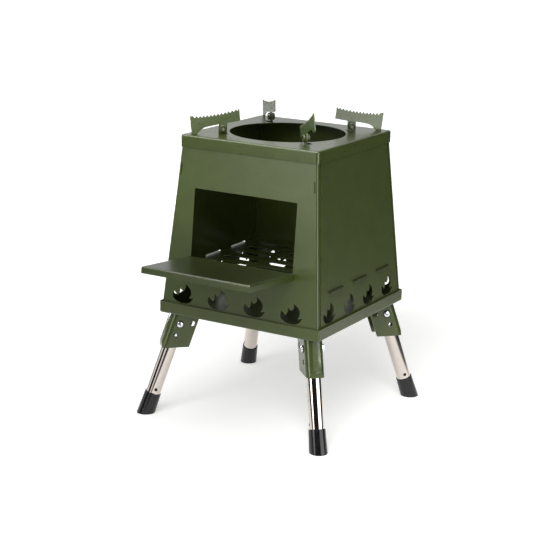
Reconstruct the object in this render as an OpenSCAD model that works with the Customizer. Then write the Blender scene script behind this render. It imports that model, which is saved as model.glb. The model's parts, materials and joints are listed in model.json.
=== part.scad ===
// Folding camping wood stove: a sheet steel firebox on four folding tube legs.
// Millimetres, +Z up. The origin is on the ground under the middle of the stove.
// The feed opening faces -Y. Corners are counted anticlockwise from the front right one.

/* [Sheet metal] */
// Thickness of the body's sheet
sheet = 1.2; // [1:0.1:1.5]
// Thickness of the grate
grate_sheet = 1.5; // [1.2:0.1:2]
// Thickness of the leg brackets
bracket_sheet = 1.8; // [1.5:0.1:2]
// Thickness of the pot supports
support_sheet = 1.5; // [1.2:0.1:2]

/* [Tray] */
// Outer width of the square tray at its rim
tray_side = 270; // [264:1:276]
// Height of the tray's wall
tray_depth = 17.3; // [14:0.1:22]
// Height of the tray's underside above the ground
tray_level = 156; // [150:1:165]
// Outer radius of the bend round the tray's floor
tray_bend = 2.6; // [2:0.1:4]
// Outer radius of the tray's upright corners
tray_corner = 5; // [3:0.1:6]

/* [Body] */
// Outer width of the body where it stands in the tray
body_foot = 265.2; // [262:0.1:266]
// Outer width of the body under the lid
body_head = 222; // [216:0.1:226]
// Height of the body from the tray's floor to the lid
body_height = 263.3; // [255:0.1:275]
// Outer radius of the upright corner bends
corner_bend = 3.2; // [2.5:0.1:4]
// Depth of the flange that the front and back panels turn along the sides
corner_flange = 6; // [5:0.1:8]
// Gap between that flange and the side panel
corner_gap = 3.7; // [2:0.1:5]

/* [Panel tongues] */
// Height of the tongue that hooks a side panel into its neighbour
tongue_height = 15; // [10:0.5:20]
// Height of the tongue above the tray's floor
tongue_level = 206.8; // [190:0.1:220]
// Depth of the tongue's outer face inside the side panel's outer face
tongue_inset = 4; // [3:0.1:5]
// How far the tongue stands out of its slit
tongue_nose = 1.6; // [1:0.1:2.5]
// Play beside the tongue in its slit
tongue_play = 0.6; // [0.3:0.1:1]

/* [Flame cut-outs] */
// Number of flames on each panel
flame_count = 4; // [2:1:4]
// Width of a flame
flame_width = 35.5; // [28:0.5:38]
// Height of a flame
flame_height = 30; // [24:0.5:34]
// Distance from flame to flame
flame_pitch = 61; // [56:0.5:62]
// Height of the row above the tray's floor
flame_level = 17.3; // [17:0.1:24]
// Shift of the row along the panel
flame_shift = -3.4; // [-5:0.1:5]

/* [Feed opening and shelf] */
// Width of the feed opening
opening_width = 170.6; // [150:0.2:172]
// Height of the feed opening
opening_height = 100.8; // [80:0.2:105]
// Height of its lower edge above the tray's floor
opening_level = 88.8; // [84:0.1:95]
// Radius of the opening's corners
opening_round = 1.6; // [1:0.1:4]
// Width of the shelf
shelf_width = 177; // [176:0.5:182]
// Length of the shelf out from the panel
shelf_length = 121; // [110:0.5:124]
// Depth of the shelf's rim
shelf_rim = 10; // [9:0.5:12]
// Outer radius of the shelf's bends
shelf_bend = 3; // [2:0.1:4]
// Distance of the hinge axis from the panel's face
hinge_out = 5; // [4.9:0.1:5.5]
// Distance of the hinge axis under the shelf's top
hinge_drop = 4.5; // [4.4:0.1:4.6]
// Distance of the shelf's top over the opening's lower edge
shelf_over = 0.8; // [0.5:0.1:1.5]
// Diameter of the hinge pin
pin_size = 3; // [2.5:0.1:3.2]
// Width of the shelf's rolled rear edge
roll_width = 161; // [150:0.5:162]

/* [Grate] */
// Height of the grate's underside above the tray's floor
grate_level = 60; // [55:0.5:65]
// Length of a grate tab along the panel
grate_tab = 42; // [30:0.5:46]
// Distance from tab to tab
grate_tab_pitch = 73.5; // [60:0.5:76]
// How far a tab stands out of the panel
grate_tab_nose = 4; // [2:0.1:5]
// Height of a tab's slot above the tab
grate_slot_play = 2.2; // [1:0.1:2.6]
// Length of an air slot's straight sides
air_slot = 50; // [40:1:52]
// Width of an air slot
air_slot_width = 15; // [10:0.5:16]
// Distance from slot to slot across them
air_slot_pitch = 33.6; // [30:0.1:36]
// Number of slot rows
air_slot_rows = 7; // [5:2:7]

/* [Lid] */
// Outer width of the square lid
lid_side = 228; // [227:0.5:234]
// Depth of the lid's rim
lid_rim = 18; // [14:0.5:22]
// Outer radius of the bend round the lid's top
lid_bend = 3; // [2:0.1:4]
// Outer radius of the lid's upright corners
lid_corner = 5; // [3:0.1:6]
// Diameter of the pot hole
pot_hole = 171.2; // [150:0.2:172]

/* [Pot supports] */
// Distance of a support's rivet from the stove's axis
support_radius = 98; // [96:0.5:104]
// Height of the rivet over the lid
support_lift = 7.75; // [7:0.05:9]
// Reach of a support outward from its rivet
support_reach = 49.5; // [44:0.5:52]
// Height of its inner tip over the rivet
support_peak = 28.75; // [24:0.05:32]
// Number of teeth on a support
tooth_count = 13; // [9:1:15]
// Depth of a tooth
tooth_depth = 3.3; // [2:0.1:4]
// Sag of the toothed edge
tooth_sag = 2.3; // [0:0.1:3]
// Half width of the neck round the rivet
support_neck = 6.2; // [5:0.1:7]
// Half width of the lid's tab for the rivet
tab_half = 6.25; // [5:0.05:7]
// Diameter of the tubular rivet's shank
eyelet_size = 5; // [4.6:0.1:6]
// Diameter of the tubular rivet's bore
eyelet_bore = 3.3; // [2.5:0.1:3.6]
// Diameter of the tubular rivet's rolled heads
eyelet_head = 11; // [9:0.1:11.4]
// Thickness of the tubular rivet's rolled heads
eyelet_roll = 3.8; // [3:0.1:4.2]
// Tilt inward of the front right support as it stands
support_tilt = 32; // [0:1:60]

/* [Legs] */
// Distance of a leg's pivot from the stove's axis
pivot_radius = 161.5; // [158:0.5:164]
// Height of the pivot over the ground
pivot_level = 139; // [136:0.5:141]
// Distance of a sole's middle from the stove's axis
sole_radius = 209.5; // [200:0.5:215]
// Outer diameter of the leg tube
tube_size = 22; // [20:0.5:22]
// Wall of the leg tube
tube_wall = 1; // [0.8:0.1:1.2]
// Length of the tube above its pivot
tube_head = 8; // [7:0.5:8]
// Diameter of the pivot screw
screw_size = 6; // [5:0.5:6]
// Diameter of the screw's head
screw_head = 9.2; // [7:0.2:10]
// Distance of the lock holes from the pivot
lock_radius = 18.6; // [17:0.1:19.5]
// Diameter of the lock button
button_size = 6.4; // [5:0.1:6.4]
// Diameter of the hole that locks the standing leg
lock_hole = 7.4; // [7:0.1:7.8]
// Travel of the lock button
button_travel = 4; // [3:0.1:4]
// Diameter of the hole that locks the folded leg
fold_hole = 8.5; // [7:0.1:8.5]
// Diameter of the hole near the foot
plug_hole = 5; // [3:0.1:5]
// Length of the rubber foot
foot_length = 33; // [28:0.5:36]
// Outer diameter of the foot at its top
foot_top = 24.6; // [24:0.2:26]
// Outer diameter of the foot at its sole
foot_sole = 26.6; // [25:0.2:26.8]

/* [Leg brackets] */
// Outer width of the bracket's channel
bracket_width = 27.2; // [27:0.1:29]
// Distance of its back from the pivot
bracket_back = 16.2; // [15.6:0.1:17]
// Distance of its open edge from the pivot
bracket_open = 25; // [23.5:0.1:26]
// Outer radius of the channel's corners
bracket_round = 10.4; // [8:0.1:10.8]
// Height of the bracket
bracket_height = 53; // [48:0.5:56]
// Height of the low part of the back that turns in toward the tube
bracket_cut = 10; // [6:0.5:12]
// Diameter of the shanks of the rivets through tray and bracket
rivet_size = 3.6; // [3:0.1:4]
// Diameter of those rivets' heads
rivet_head = 6; // [5:0.1:7]

/* [Fits] */
// Running clearance round a pin or screw
run_gap = 0.05; // [0.03:0.01:0.1]
// Play between faces that slide on each other
slide_gap = 0.1; // [0.05:0.05:0.2]
// Overrun of a cut past the face it opens
over = 1; // [0.5:0.5:2]

/* [Hidden] */
$fn = 64;

// Corners in order round the stove, and the sides that they begin
front_right = 0;
back_right = 1;
back_left = 2;
front_left = 3;
corners = [front_right, back_right, back_left, front_left];
right_side = 1;
left_side = 3;
// Tilt of a support that stands upright
standing = 0;
// Side of each leg that its screw head and lock button face: all of them face the front
head_side = [-1, -1, 1, 1];

olive = "#4e5a3c";
olive_dark = "#3d4727";
olive_light = "#8b9580";
zinc = "#c9cdd2";
steel = "#b9b4ab";
rubber = "#1c1c1e";

// Levels of the tray's floor and of the lid
floor_level = tray_level + sheet;
lid_under = floor_level + body_height;
lid_top = lid_under + sheet;

// Lean of the panels, and lean of their side edges in their own plane
foot_half = body_foot / 2;
lean = atan((body_foot - body_head) / 2 / body_height);
edge_lean = atan(sin(lean));
slant = body_height / cos(lean);
// A height above the tray's floor, measured up the panel's face and along its side edge
function up_face(h) = h / cos(lean);
function up_edge(h) = up_face(h) / cos(edge_lean);
// Half width of the body at a height over the tray's floor
function half_at(h) = foot_half - h * tan(lean);

// Hinge axis of the shelf in the front panel's own plane
shelf_top = up_face(opening_level) + shelf_over;
hinge_up = shelf_top - hinge_drop;
ear_nose = hinge_drop - sheet - slide_gap;
ear_place = roll_width / 2 + sheet * 0.75;
lug_place = roll_width / 2 - sheet * 3;

// Lean and length of a leg from its pivot to its sole
leg_splay = atan((sole_radius - pivot_radius) / pivot_level);
leg_length = pivot_level / cos(leg_splay);
tube_bore = tube_size / 2 - tube_wall;
tube_end = leg_length - foot_length * 0.2;
plug_end = leg_length - foot_length * 1.4;

// Places inside the leg tube, out from its axis toward the button
collar_size = button_size * 0.7;
collar_sheet = sheet * 0.7;
button_tip = bracket_width / 2 - bracket_sheet - slide_gap * 2;
collar_out = sqrt(tube_bore * tube_bore - collar_size * collar_size) - slide_gap - button_travel;
button_crown = button_size * 0.2;
crown_radius = (button_size * button_size / 4 + button_crown * button_crown) / (2 * button_crown);
spring_sheet = sheet * 0.5;
spring_width = tube_size * 0.32;
spring_out = collar_out - collar_sheet - slide_gap;
spring_back = sqrt(tube_bore * tube_bore - spring_width * spring_width / 4);
spring_bend = (spring_out + spring_back) / 2;

// Pot support outline, in shares of its reach and its peak, from the block's top round to the foot
block_share = 0.9;
block_top_share = 0.635;
tip_share = -0.477;
wing_shares = [[-0.517, 0.374], [-0.127, 0.252], [-0.125, 0]];
foot_shares = [[0.125, 0], [0.141, 0.203], [0.545, 0.061], [0.657, -0.061]];
sole_shares = [0.776, 0.94];

// One flame: anchors and pull points of its curves, in shares of its width and height
flame_shares = [
  [[0.03, 0.57], [-0.10, 0.25], [0.13, 0.10]],
  [[0.13, 0.10], [0.30, 0.00], [0.55, 0.00]],
  [[0.55, 0.00], [0.88, 0.00], [1.00, 0.37]],
  [[1.00, 0.37], [0.90, 0.30], [0.79, 0.31]],
  [[0.79, 0.31], [0.92, 0.50], [0.86, 0.68]],
  [[0.86, 0.68], [0.80, 0.86], [0.56, 1.00]],
  [[0.56, 1.00], [0.66, 0.80], [0.50, 0.65]],
  [[0.50, 0.65], [0.38, 0.64], [0.30, 0.80]],
  [[0.30, 0.80], [0.36, 0.55], [0.22, 0.37]],
  [[0.22, 0.37], [0.16, 0.46], [0.03, 0.57]]];
curve_steps = 5;
function on_curve(c, t) = c[0] * (1 - t) * (1 - t) + c[1] * 2 * t * (1 - t) + c[2] * t * t;
flame_points = [for (c = flame_shares) for (i = [0 : curve_steps - 1]) on_curve(c, i / curve_steps)];

// Frames in which the pieces are drawn

// A panel's frame: X along the panel, Y up its outer face, Z straight out of it
module panel_frame(side)
  rotate([0, 0, 90 * side])
    translate([0, -foot_half, floor_level])
      rotate([90 - lean, 0, 0])
        children();

// The same frame turned to run along the panel's right hand edge, and its mirror image
module edge_frame()
  translate([foot_half, 0, 0])
    rotate([0, 0, edge_lean])
      children();

module both_edges() {
  edge_frame() children();
  mirror([1, 0, 0]) edge_frame() children();
}

// A corner's frame: X straight out through the corner, Y anticlockwise, Z up
module corner_frame(corner)
  rotate([0, 0, 90 * corner - 45])
    children();

// A leg's frame: its pivot is at zero and the leg runs down -Z
module leg_frame(corner)
  corner_frame(corner)
    translate([pivot_radius, 0, pivot_level])
      rotate([0, -leg_splay, 0])
        children();

// A support's frame: its rivet is at zero
module support_frame(corner)
  corner_frame(corner)
    translate([support_radius, 0, lid_top + support_lift])
      children();

// A flat outline in a panel's Y and Z, as thick as t and starting at x
module across(x, t)
  translate([x, 0, 0])
    rotate([90, 0, 90])
      linear_extrude(t)
        children();

// A flat outline in a corner's X and Z, as thick as t and starting at y
module upright(y, t)
  translate([0, y + t, 0])
    rotate([90, 0, 0])
      linear_extrude(t)
        children();

// A cylinder along Y from y to y + h
module bar(r, y, h)
  translate([0, y, 0])
    rotate([-90, 0, 0])
      cylinder(r = r, h = h);

// A rectangle hanging from zero, centred, with its two upper corners round
module soft_top(w, h, r) {
  translate([-w / 2, -h]) square([w, h - r]);
  translate([-w / 2 + r, -h]) square([w - 2 * r, h]);
  translate([w / 2 - r, -r]) circle(r);
  translate([-w / 2 + r, -r]) circle(r);
}

// A square block hanging from zero, round along its top, its upright edges and its corners
module soft_block(side, h, r, corner) {
  run = side - 2 * corner;
  upright(-run / 2, run) soft_top(side, h, r);
  rotate([0, 0, 90]) upright(-run / 2, run) soft_top(side, h, r);
  for (x = [-1, 1]) for (y = [-1, 1])
    translate([x * run / 2, y * run / 2, 0])
      rotate_extrude()
        intersection() {
          soft_top(2 * corner, h, r);
          translate([0, -h]) square([corner, h]);
        }
}

// A square pan, open below, folded from sheet
module soft_pan(side, h, r, corner)
  difference() {
    soft_block(side, h, r, corner);
    translate([0, 0, -sheet])
      soft_block(side - 2 * sheet, h + over, r - sheet, corner - sheet);
  }

// Everything between the tray's floor and the lid
module body_height_only()
  intersection() {
    children();
    translate([-tray_side / 2, -tray_side / 2, floor_level]) cube([tray_side, tray_side, body_height]);
  }

// The sheet of a panel, less w at each side edge
module panel_sheet(w) {
  low = foot_half + over * sin(edge_lean) - w;
  high = foot_half - (slant + over) * sin(lean) - w;
  translate([0, 0, -sheet])
    linear_extrude(sheet)
      polygon([[-low, -over], [low, -over], [high, slant + over], [-high, slant + over]]);
}

// Corner bend and the flange that runs along the side of the body
module corner_profile() {
  difference() {
    translate([-corner_bend, -corner_bend]) circle(corner_bend);
    translate([-corner_bend, -corner_bend]) circle(corner_bend - sheet);
    translate([-2 * corner_bend, -2 * corner_bend]) square([corner_bend, 2 * corner_bend]);
    translate([-2 * corner_bend, -2 * corner_bend]) square([2 * corner_bend, corner_bend]);
  }
  translate([-sheet, -corner_flange]) square([sheet, corner_flange - corner_bend]);
  translate([-corner_bend - over, -sheet]) square([over, sheet]);
}

module corner_run()
  translate([0, up_edge(body_height) + over, 0])
    rotate([90, 0, 0])
      linear_extrude(up_edge(body_height) + 2 * over)
        corner_profile();

module flame_row()
  for (i = [0 : flame_count - 1])
    translate([flame_shift + (i - (flame_count - 1) / 2) * flame_pitch - flame_width / 2,
               up_face(flame_level), -sheet - over])
      linear_extrude(sheet + 2 * over)
        polygon([for (p = flame_points) [p.x * flame_width, p.y * flame_height]]);

// Slits for the side panels' tongues
module tongue_slits()
  both_edges()
    translate([-tongue_inset - sheet - tongue_play, up_edge(tongue_level), -corner_flange])
      cube([sheet + 2 * tongue_play, tongue_height + tongue_play, corner_flange + over]);

// A panel that turns round the corners of the body
module flanged_panel()
  difference() {
    union() {
      panel_sheet(corner_bend);
      both_edges() corner_run();
    }
    flame_row();
    tongue_slits();
  }

module feed_opening()
  translate([0, up_face(opening_level) + opening_height / 2, -sheet - over])
    linear_extrude(sheet + 2 * over) {
      square([opening_width - 2 * opening_round, opening_height], center = true);
      square([opening_width, opening_height - 2 * opening_round], center = true);
      for (x = [-1, 1]) for (y = [-1, 1])
        translate([x * (opening_width / 2 - opening_round), y * (opening_height / 2 - opening_round)])
          circle(opening_round);
    }

// One ear of the shelf's hinge
module hinge_ear(x)
  across(x - sheet / 2, sheet)
    difference() {
      union() {
        translate([hinge_up, hinge_out]) circle(ear_nose);
        translate([hinge_up - ear_nose, -sheet]) square([2 * ear_nose, hinge_out + sheet]);
      }
      translate([hinge_up, hinge_out]) circle(pin_size / 2);
    }

module front_panel()
  color(olive)
    body_height_only()
      panel_frame(0) {
        difference() {
          flanged_panel();
          feed_opening();
        }
        for (s = [-1, 1]) hinge_ear(s * ear_place);
      }

module back_panel()
  color(olive)
    body_height_only()
      panel_frame(2)
        flanged_panel();

// A side panel lies between the flanges, has edges joggled behind them and hooks into the front and back panels
module joggle() {
  root = corner_flange + corner_gap + 2 * sheet;
  lap = corner_flange * 0.35;
  translate([-root, -over, -2 * sheet - slide_gap]) {
    cube([root - corner_flange + lap, up_edge(body_height) + 2 * over, sheet]);
    cube([2 * sheet, up_edge(body_height) + 2 * over, 1.5 * sheet + slide_gap]);
  }
}

module tongue() {
  root = corner_flange + corner_gap + 2 * sheet;
  translate([-root, up_edge(tongue_level), -tongue_inset - sheet]) {
    cube([sheet, tongue_height, tongue_inset + sheet / 2]);
    cube([root + tongue_nose, tongue_height, sheet]);
  }
}

module grate_slots()
  for (i = [-1, 0, 1])
    translate([half_at(grate_level) - 2 * sheet - over, i * grate_tab_pitch - grate_tab / 2 - tongue_play,
               floor_level + grate_level])
      cube([2 * sheet + 2 * over, grate_tab + 2 * tongue_play, grate_sheet + grate_slot_play]);

module side_panel(side)
  color(olive_dark)
    difference() {
      body_height_only()
        panel_frame(side) {
          difference() {
            panel_sheet((corner_flange + corner_gap) / cos(edge_lean));
            flame_row();
          }
          both_edges() {
            tongue();
            joggle();
          }
        }
      rotate([0, 0, 90 * side - 90]) grate_slots();
    }

module base_tray()
  color(olive)
    difference() {
      translate([0, 0, tray_level])
        mirror([0, 0, 1])
          soft_pan(tray_side, tray_depth, tray_bend, tray_corner);
      for (c = corners) corner_frame(c) rivet_places() cylinder(d = rivet_size, h = sheet + bracket_sheet + 2 * over);
    }

// Fire grate, with tabs that rest in the side panels
module grate() {
  deep = half_at(grate_level + grate_sheet) - sheet - 4 * slide_gap;
  half = deep - sheet;
  between = deep - corner_flange - corner_gap - 4 * sheet;
  color(olive_dark)
    translate([0, 0, floor_level + grate_level])
      difference() {
        union() {
          translate([-half, -deep, 0]) cube([2 * half, 2 * deep, grate_sheet]);
          translate([-deep, -between, 0]) cube([2 * deep, 2 * between, grate_sheet]);
          for (i = [-1, 0, 1])
            translate([-half_at(grate_level) - grate_tab_nose, i * grate_tab_pitch - grate_tab / 2, 0])
              cube([2 * half_at(grate_level) + 2 * grate_tab_nose, grate_tab, grate_sheet]);
        }
        for (row = [0 : air_slot_rows - 1]) for (column = [-1, 0, 1])
          translate([column * (air_slot + air_slot_width * 1.65),
                     (row - (air_slot_rows - 1) / 2) * air_slot_pitch, -over])
            air_slot_cut();
      }
}

module air_slot_cut()
  linear_extrude(grate_sheet + 2 * over) {
    square([air_slot, air_slot_width], center = true);
    for (s = [-1, 1]) translate([s * air_slot / 2, 0]) circle(air_slot_width / 2);
  }

// The shelf's block in its outer shape, or less t all over
module shelf_block(t, low)
  intersection() {
    translate([0, shelf_top - t, 0])
      linear_extrude(shelf_length)
        soft_top(shelf_width - 2 * t, shelf_rim - t + low, shelf_bend - t);
    across(-shelf_width / 2, shelf_width)
      rotate(90)
        translate([0, -shelf_top + t])
          mirror([0, 1])
            soft_top(2 * shelf_length - 2 * t, shelf_rim - t + low, shelf_bend - t);
  }

// What the shelf's rear end leaves free so that it clears the panel and its ears as it turns
module shelf_rear() {
  notch = (shelf_width - roll_width) / 2 - shelf_bend;
  across(-shelf_width / 2 - over, shelf_width + 2 * over) {
    translate([hinge_up - shelf_rim, -over]) square([2 * shelf_rim, over + 3 * slide_gap]);
    difference() {
      translate([hinge_up, -over]) square([shelf_rim, hinge_out + over]);
      translate([hinge_up, hinge_out]) circle(hinge_drop);
    }
  }
  for (x = [-roll_width / 2 - notch, roll_width / 2])
    translate([x, hinge_up, -over]) cube([notch, shelf_rim, over + hinge_out + ear_nose + 4 * slide_gap]);
}

module feed_shelf()
  color(olive)
    panel_frame(0)
      difference() {
        union() {
          difference() {
            shelf_block(0, 0);
            shelf_block(sheet, over);
            shelf_rear();
          }
          // Rolled rear edge
          across(-roll_width / 2, roll_width)
            intersection() {
              difference() {
                translate([hinge_up, hinge_out]) circle(hinge_drop);
                translate([hinge_up, hinge_out]) circle(hinge_drop - sheet);
              }
              translate([hinge_up, hinge_out - hinge_drop]) square(hinge_drop);
            }
          // Lugs round the pin
          for (s = [-1, 1])
            across(s * lug_place - sheet / 2, sheet)
              translate([hinge_up, hinge_out]) circle(hinge_drop);
        }
        across(-roll_width / 2, roll_width)
          translate([hinge_up, hinge_out]) circle(pin_size / 2 + run_gap);
      }

module shelf_pin() {
  reach = ear_place + sheet / 2;
  color(zinc)
    panel_frame(0)
      translate([0, hinge_up, hinge_out])
        rotate([0, 90, 0]) {
          translate([0, 0, -reach]) cylinder(d = pin_size, h = 2 * reach);
          translate([0, 0, reach]) cylinder(d = pin_size * 1.5, h = sheet);
          translate([0, 0, -reach - sheet]) cylinder(d = pin_size * 1.5, h = sheet);
        }
}

// Lid with its pot hole, and four tabs lanced and bent up for the supports
module lid_window()
  translate([support_radius - tab_half * 1.15, 0, -sheet - over])
    cube([tab_half * 2.3, support_lift, sheet + 2 * over]);

module lid_tab()
  upright(-sheet, sheet) {
    circle(tab_half);
    translate([-tab_half, -support_lift - sheet]) square([2 * tab_half, support_lift + sheet]);
  }

module lid_plate()
  color(olive_light)
    difference() {
      union() {
        difference() {
          translate([0, 0, lid_top]) soft_pan(lid_side, lid_rim, lid_bend, lid_corner);
          translate([0, 0, lid_under - over]) cylinder(d = pot_hole, h = sheet + 2 * over, $fn = 160);
          for (c = corners) corner_frame(c) translate([0, 0, lid_top]) lid_window();
        }
        for (c = corners) support_frame(c) lid_tab();
      }
      for (c = corners) support_frame(c) bar(eyelet_size / 2, -sheet - over, sheet + 2 * over);
    }

// Tubular rivet that holds a support beside its tab
module support_rivet() {
  outer = support_sheet + 2 * slide_gap;
  difference() {
    union() {
      bar(eyelet_size / 2, -sheet - eyelet_roll / 2, sheet + outer + eyelet_roll);
      rolled_head(outer + eyelet_roll / 2);
      rolled_head(-sheet - eyelet_roll / 2);
    }
    bar(eyelet_bore / 2, -sheet - eyelet_roll - over, sheet + outer + 2 * eyelet_roll + 2 * over);
  }
}

module rolled_head(y)
  translate([0, y, 0])
    rotate([-90, 0, 0]) {
      rotate_extrude() translate([(eyelet_head - eyelet_roll) / 2, 0]) circle(eyelet_roll / 2);
      cylinder(d = eyelet_head - eyelet_roll, h = eyelet_roll * 0.8, center = true);
    }

module support_rivets()
  color(zinc)
    for (c = corners) support_frame(c) support_rivet();

// Toothed edge from the outer block to the inner tip
function tooth_base(u) = [
  support_reach * (block_share + (tip_share - block_share) * u),
  support_peak * (block_top_share + (1 - block_top_share) * u) - 4 * tooth_sag * u * (1 - u)];
tooth_points = [for (i = [0 : 2 * tooth_count])
  tooth_base(i / (2 * tooth_count)) - [0, (i % 2) * tooth_depth]];
function in_support(p) = [p.x * support_reach, p.y * support_peak];

module support_outline() {
  sole = -support_lift + slide_gap / 2;
  polygon(concat(
    [[support_reach, support_peak * block_top_share]],
    tooth_points,
    [for (p = wing_shares) in_support(p)],
    [for (p = foot_shares) in_support(p)],
    [for (x = sole_shares) [x * support_reach, sole]]));
  circle(support_neck);
}

module pot_support(corner, tilt)
  color(olive_light)
    support_frame(corner)
      rotate([0, -tilt, 0])
        upright(slide_gap, support_sheet)
          difference() {
            support_outline();
            circle(eyelet_size / 2 + run_gap);
          }

// Bracket: a channel that leans with the leg, closed on top against the tray
function bracket_x(n, z) = pivot_radius + (n - (z - pivot_level) * sin(leg_splay)) / cos(leg_splay);

module channel_outline(w, r, back)
  intersection() {
    translate([back, 0]) rotate(-90) soft_top(w, bracket_height * 2, r);
    translate([-bracket_open, -w]) square([bracket_open + back, 2 * w]);
  }

// The bracket's outline from the side, from its top to end, less t all over its back. The back turns in toward the
// tube at its lower end.
module bracket_side(top, end, t) {
  low = tray_level - bracket_height;
  turn = low + bracket_cut;
  at_turn = [bracket_x(bracket_back - t, turn), turn];
  at_low = [bracket_x(tube_size / 2 + bracket_sheet + slide_gap - t, low), low];
  slope = (at_low - at_turn) / bracket_cut;
  polygon([
    [bracket_x(-bracket_open - 2 * over, top), top],
    [bracket_x(bracket_back + over, top), top],
    at_turn - slope * bracket_cut / 2,
    at_low + slope * (low - end),
    [bracket_x(-bracket_open - 2 * over, end), end]]);
}

module channel(corner)
  leg_frame(corner)
    translate([0, 0, -bracket_height * 1.5])
      linear_extrude(bracket_height * 3)
        children();

module leg_bracket(corner) {
  inner = bracket_width - 2 * bracket_sheet;
  color(olive)
    difference() {
      union() {
        difference() {
          intersection() {
            channel(corner) channel_outline(bracket_width, bracket_round, bracket_back);
            corner_frame(corner)
              upright(-bracket_width, 2 * bracket_width) bracket_side(tray_level, tray_level - bracket_height, 0);
          }
          intersection() {
            channel(corner) channel_void(inner);
            corner_frame(corner)
              upright(-bracket_width, 2 * bracket_width)
                bracket_side(tray_level + over, tray_level - bracket_height - over, bracket_sheet);
          }
        }
        corner_frame(corner)
          translate([bracket_x(-bracket_open, tray_level) + bracket_sheet, -inner / 2 - bracket_sheet / 2,
                     tray_level - bracket_sheet])
            cube([bracket_open + bracket_back - bracket_round, inner + bracket_sheet, bracket_sheet]);
      }
      leg_frame(corner) {
        bar(screw_size / 2, -bracket_width, 2 * bracket_width);
        translate([0, 0, -lock_radius]) bar(lock_hole / 2, -bracket_width, 2 * bracket_width);
      }
      corner_frame(corner) {
        translate([pivot_radius - lock_radius, 0, pivot_level])
          bar(fold_hole / 2, -bracket_width, 2 * bracket_width);
        rivet_places() cylinder(d = rivet_size, h = 2 * bracket_sheet + 2 * over);
      }
    }
}

module channel_void(w)
  intersection() {
    translate([bracket_back - bracket_sheet, 0])
      rotate(-90) soft_top(w, bracket_height * 2, bracket_round - bracket_sheet);
    translate([-bracket_open - over, -w]) square([bracket_open + bracket_back + over, 2 * w]);
  }

// Two rivets hold each bracket to the tray's floor
module rivet_places()
  for (share = [0.92, 0.855])
    translate([pivot_radius * share, 0, tray_level - bracket_sheet - over]) children();

module bracket_rivet() {
  grip = sheet + bracket_sheet;
  cylinder(d = rivet_size, h = grip);
  translate([0, 0, grip]) cylinder(d1 = rivet_head, d2 = rivet_size, h = sheet);
  translate([0, 0, -sheet * 0.8]) cylinder(d = rivet_head * 0.9, h = sheet * 0.8);
}

module bracket_rivets()
  color(zinc)
    for (c = corners) corner_frame(c) rivet_places() translate([0, 0, over]) bracket_rivet();

// Pivot screw, with its head, washer and nut outside the bracket; side is the head's
module facing(corner)
  leg_frame(corner)
    if (head_side[corner] < 0) mirror([0, 1, 0]) children();
    else children();

module head_dome() {
  r = screw_head;
  intersection() {
    translate([0, -r * 0.866 + screw_size * 0.35, 0]) sphere(r);
    bar(screw_head / 2, 0, r);
  }
}

module leg_screw() {
  face = bracket_width / 2 + sheet * 0.7;
  nut = -bracket_width / 2 - screw_size * 0.8;
  bar(screw_size / 2, nut, face - nut);
  difference() {
    translate([0, face, 0]) head_dome();
    for (turn = [0, 90])
      rotate([0, turn, 0])
        translate([-screw_head * 0.28, face + screw_size * 0.12, -screw_head * 0.07])
          cube([screw_head * 0.56, screw_head, screw_head * 0.14]);
  }
}

module leg_screws()
  color(zinc)
    for (c = corners) facing(c) leg_screw();

module leg_washers()
  color(rubber)
    for (c = corners)
      facing(c)
        difference() {
          bar(screw_head * 0.62, bracket_width / 2, sheet * 0.7);
          bar(screw_size / 2, bracket_width / 2 - over, sheet + 2 * over);
        }

module leg_nuts()
  color(zinc)
    for (c = corners)
      facing(c)
        difference() {
          translate([0, -bracket_width / 2, 0])
            rotate([90, 0, 0]) cylinder(r = screw_size * 0.92, h = screw_size * 0.7, $fn = 6);
          bar(screw_size / 2, -2 * bracket_width, 2 * bracket_width);
        }

// Leg tube with its pivot, button and plug holes
module leg_tube(corner)
  color(steel)
    facing(corner)
      difference() {
        translate([0, 0, -tube_end]) cylinder(d = tube_size, h = tube_end + tube_head);
        translate([0, 0, -tube_end - over]) cylinder(r = tube_bore, h = tube_end + tube_head + 2 * over);
        bar(screw_size / 2 + run_gap, -tube_size, 2 * tube_size);
        translate([0, 0, -lock_radius]) bar(button_size / 2 + slide_gap, 0, tube_size);
        translate([0, 0, -leg_length + foot_length * 1.21]) bar(plug_hole / 2, 0, tube_size);
      }

// Rubber foot: a boot round the tube's end and a plug inside it, with a level sole
module foot(corner)
  color(rubber)
    intersection() {
      facing(corner)
        difference() {
          union() {
            foot_boot();
            translate([0, 0, -leg_length]) cylinder(r = tube_bore, h = leg_length - plug_end);
          }
          translate([0, 0, -tube_end])
            difference() {
              cylinder(d = tube_size, h = foot_length);
              translate([0, 0, -over]) cylinder(r = tube_bore, h = foot_length + 2 * over);
            }
        }
      translate([-2 * sole_radius, -2 * sole_radius, 0]) cube(4 * sole_radius);
    }

module foot_boot() {
  spread = (foot_sole - foot_top) / 2;
  translate([0, 0, -leg_length - foot_length])
    cylinder(r1 = foot_sole / 2 + spread, r2 = foot_top / 2, h = 2 * foot_length);
}

// Snap button: its dome stands in the tube's hole, pressed in behind the bracket's cheek
module lock_button(corner)
  color(zinc)
    facing(corner)
      translate([0, 0, -lock_radius]) {
        bar(collar_size, collar_out - collar_sheet, collar_sheet);
        intersection() {
          bar(button_size / 2, collar_out, button_tip + over - collar_out);
          translate([0, button_tip - crown_radius, 0]) sphere(crown_radius);
        }
      }

// Hairpin spring behind the button
module button_spring(corner)
  color(steel)
    facing(corner)
      translate([-spring_width / 2, 0, 0])
        rotate([90, 0, 90])
          linear_extrude(spring_width)
            spring_outline();

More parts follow.
